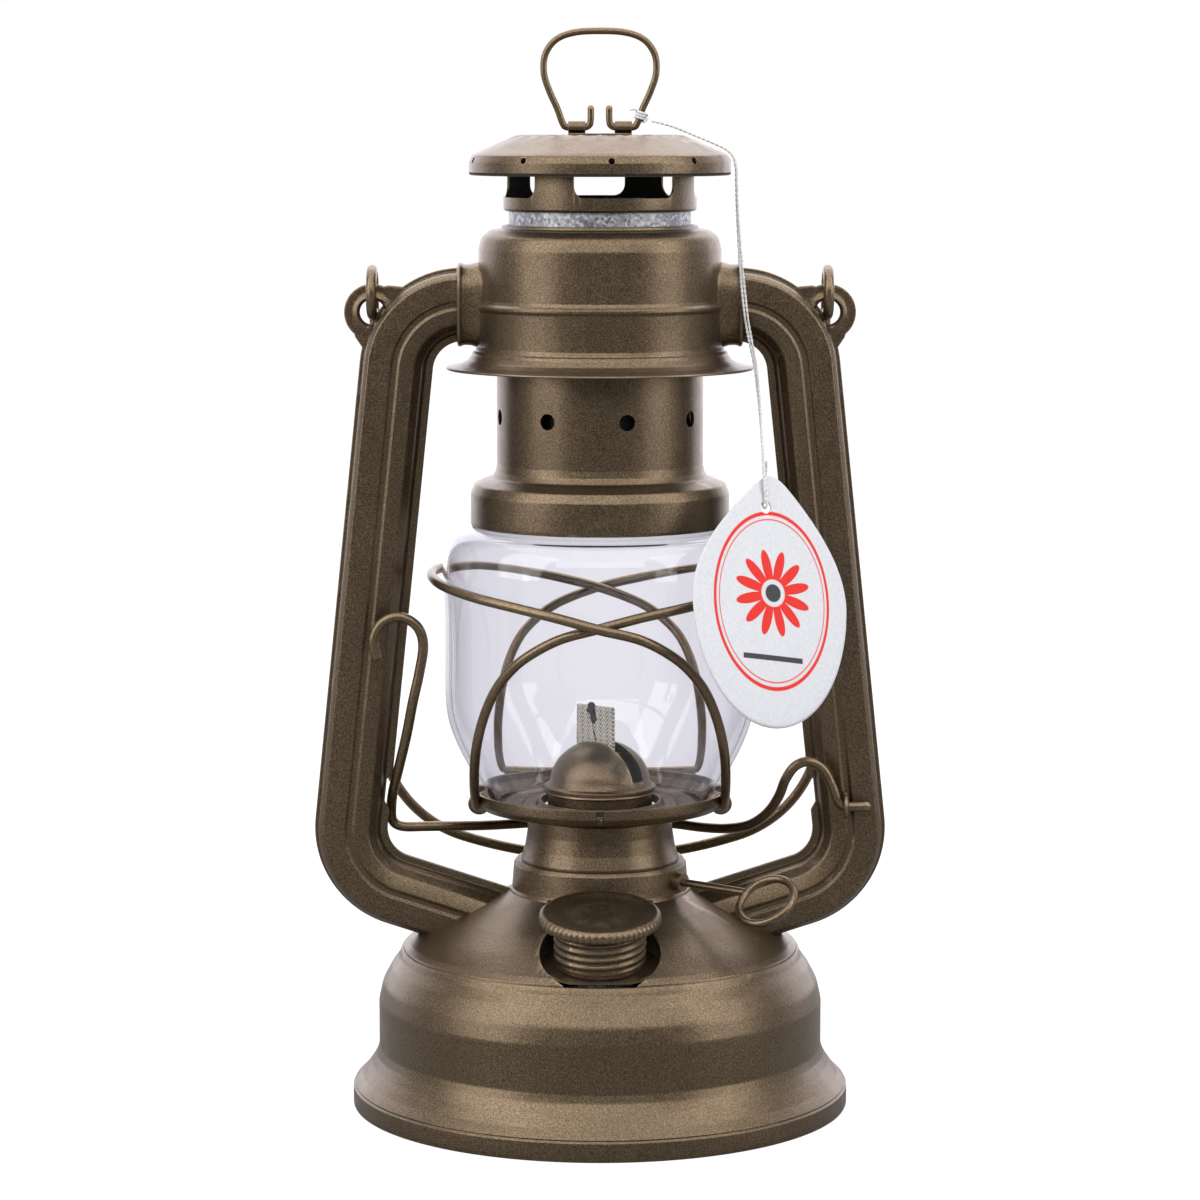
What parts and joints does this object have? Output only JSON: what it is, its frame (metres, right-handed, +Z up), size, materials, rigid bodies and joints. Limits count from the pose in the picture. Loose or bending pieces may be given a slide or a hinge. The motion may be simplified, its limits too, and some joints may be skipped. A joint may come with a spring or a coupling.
{
  "type": "hurricane lantern",
  "caption": "Tubular oil lantern with a glass globe, wire guard, sprung chimney, globe lever, wick knob, screwed filler cap, folding bail and a paper hang tag.",
  "frame": {"origin": "centre of the base's underside", "axes": "+Z up through the burner and hood, -Y towards the filler cap, +X towards the wick knob's side"},
  "size_m": [0.1516, 0.132, 0.2843],
  "materials": {
    "bronze_lacquer": "satin metallic dark-bronze lacquer with a fine flake",
    "galvanised_sheet": "galvanised, lightly speckled",
    "burner_brass": "dull brass",
    "clear_glass": "clear blown glass",
    "wick_cotton": "woven cotton",
    "twine": "two-ply cotton twine",
    "tag_paper": "coated paper",
    "gasket_rubber": "matt",
    "spring_steel": "bright drawn wire"
  },
  "bodies": {
    "lantern_frame": {"tank_shell": "bronze_lacquer", "tank_bottom": "bronze_lacquer", "tank_top": "galvanised_sheet", "air_cone": "bronze_lacquer", "filler_neck": "galvanised_sheet", "burner_base": "galvanised_sheet", "burner_collar": "bronze_lacquer", "burner_cone": "bronze_lacquer", "burner_cup": "bronze_lacquer", "burner_dome": "bronze_lacquer", "wick_tube": "burner_brass", "shaft_bush": "bronze_lacquer", "tube_left_front": "bronze_lacquer", "tube_left_back": "bronze_lacquer", "tube_right_front": "bronze_lacquer", "tube_right_back": "bronze_lacquer", "tube_collar_left": "bronze_lacquer", "tube_collar_right": "bronze_lacquer", "canopy": "bronze_lacquer", "lever_lug": "bronze_lacquer", "chimney_spring": "spring_steel"},
    "globe_lever": {"globe_lever": "bronze_lacquer"},
    "globe_carrier": {"globe": "clear_glass", "globe_plate": "bronze_lacquer", "globe_guard": "bronze_lacquer"},
    "chimney": {"chimney_sleeve": "bronze_lacquer", "inner_tube": "galvanised_sheet", "vent_ring": "bronze_lacquer", "hood": "bronze_lacquer", "ring_lugs": "bronze_lacquer", "tag_string": "twine", "hang_tag": "tag_paper"},
    "lifting_ring": {"lifting_ring": "bronze_lacquer", "string_knot": "twine"},
    "bail": {"bail": "bronze_lacquer"},
    "wick_knob": {"wick_knob": "bronze_lacquer", "wick_wheels": "burner_brass"},
    "wick": {"wick": "wick_cotton"},
    "filler_gasket": {"filler_gasket": "gasket_rubber"},
    "filler_cap": {"filler_cap": "bronze_lacquer"}
  },
  "joints": [
    {"name": "lever_swing", "type": "hinge", "parent": "lantern_frame", "child": "globe_lever", "pos_m": [-0.055, 0, 0.0834], "axis": [0.9962, -0.0849, -0.02], "range_deg": [0, 24]},
    {"name": "globe_lift", "type": "slide", "parent": "lantern_frame", "child": "globe_carrier", "axis": [0, 0, 1], "range_m": [0, 0.0122]},
    {"name": "chimney_lift", "type": "slide", "parent": "globe_carrier", "child": "chimney", "axis": [0, 0, 1], "range_m": [0, 0.017], "stiffness_N_per_m": 150, "springref_m": -0.01, "deforming": ["chimney_spring"]},
    {"name": "ring_swing", "type": "hinge", "parent": "chimney", "child": "lifting_ring", "pos_m": [0, 0, 0.2586], "axis": [1, 0, 0], "range_deg": [-80, 80]},
    {"name": "bail_swing", "type": "hinge", "parent": "lantern_frame", "child": "bail", "pos_m": [0, 0, 0.2157], "axis": [1, 0, 0], "range_deg": [0, 255]},
    {"name": "wick_turn", "type": "hinge", "parent": "lantern_frame", "child": "wick_knob", "pos_m": [0.00251, 0.00299, 0.0612], "axis": [0.766, -0.6428, 0], "range_deg": [-90, 150]},
    {"name": "wick_slide", "type": "slide", "parent": "lantern_frame", "child": "wick", "axis": [0, 0, 1], "range_m": [-0.0075, 0.0045]},
    {"name": "cap_lift", "type": "slide", "parent": "lantern_frame", "child": "filler_gasket", "axis": [0, -0.1736, 0.9848], "range_m": [0, 0.0101]},
    {"name": "cap_turn", "type": "hinge", "parent": "filler_gasket", "child": "filler_cap", "pos_m": [0, -0.0395, 0.045], "axis": [0, -0.1736, 0.9848], "range_deg": [0, 1800]}
  ],
  "couplings": [
    {"joint": "lever_swing", "follows": "globe_lift", "rad_per_m": 34.01},
    {"joint": "wick_turn", "follows": "wick_slide", "rad_per_m": -344.8},
    {"joint": "cap_lift", "follows": "cap_turn", "m_per_rad": 0.0003183}
  ]
}
